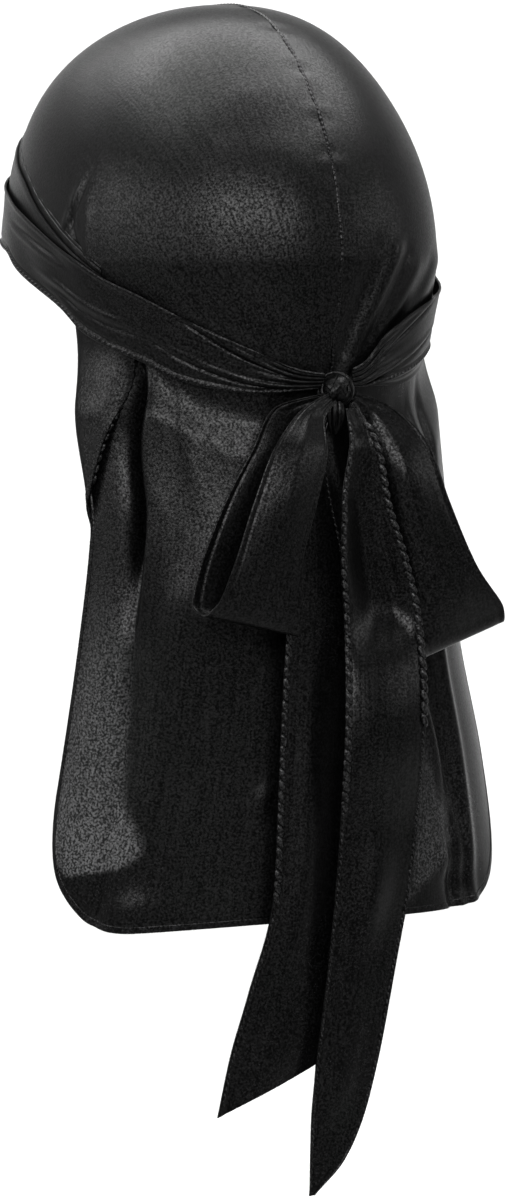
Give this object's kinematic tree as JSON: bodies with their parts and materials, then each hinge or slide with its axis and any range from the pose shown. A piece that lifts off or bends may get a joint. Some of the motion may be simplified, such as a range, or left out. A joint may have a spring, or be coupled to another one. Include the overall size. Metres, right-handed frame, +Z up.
{
  "type": "durag",
  "caption": "Black satin durag in its worn form: seamed crown, straps wrapped round the brow and tied in a bow at the nape, and a long cape over the neck.",
  "frame": {"origin": "inner apex of the crown, where the durag sits on the head", "axes": "+Z up, -Y towards the face, +Y towards the knot at the back of the head, +X towards the wearer's left"},
  "size_m": [0.184, 0.208, 0.448],
  "materials": {
    "satin": "black polyester satin with a soft sheen",
    "hem": "folded and overlocked black satin hems, duller than the cloth"
  },
  "bodies": {
    "root": {"crown_left": "satin", "crown_right": "satin", "centre_seam": "hem", "front_hem": "hem", "wrap_under": "satin", "wrap_over": "satin", "cape": "satin", "cape_hem": "hem", "knot": "satin", "knot_tuck": "satin", "loop_left": "satin", "loop_right": "satin", "tail_left": "satin", "tail_right": "satin"}
  },
  "joints": []
}
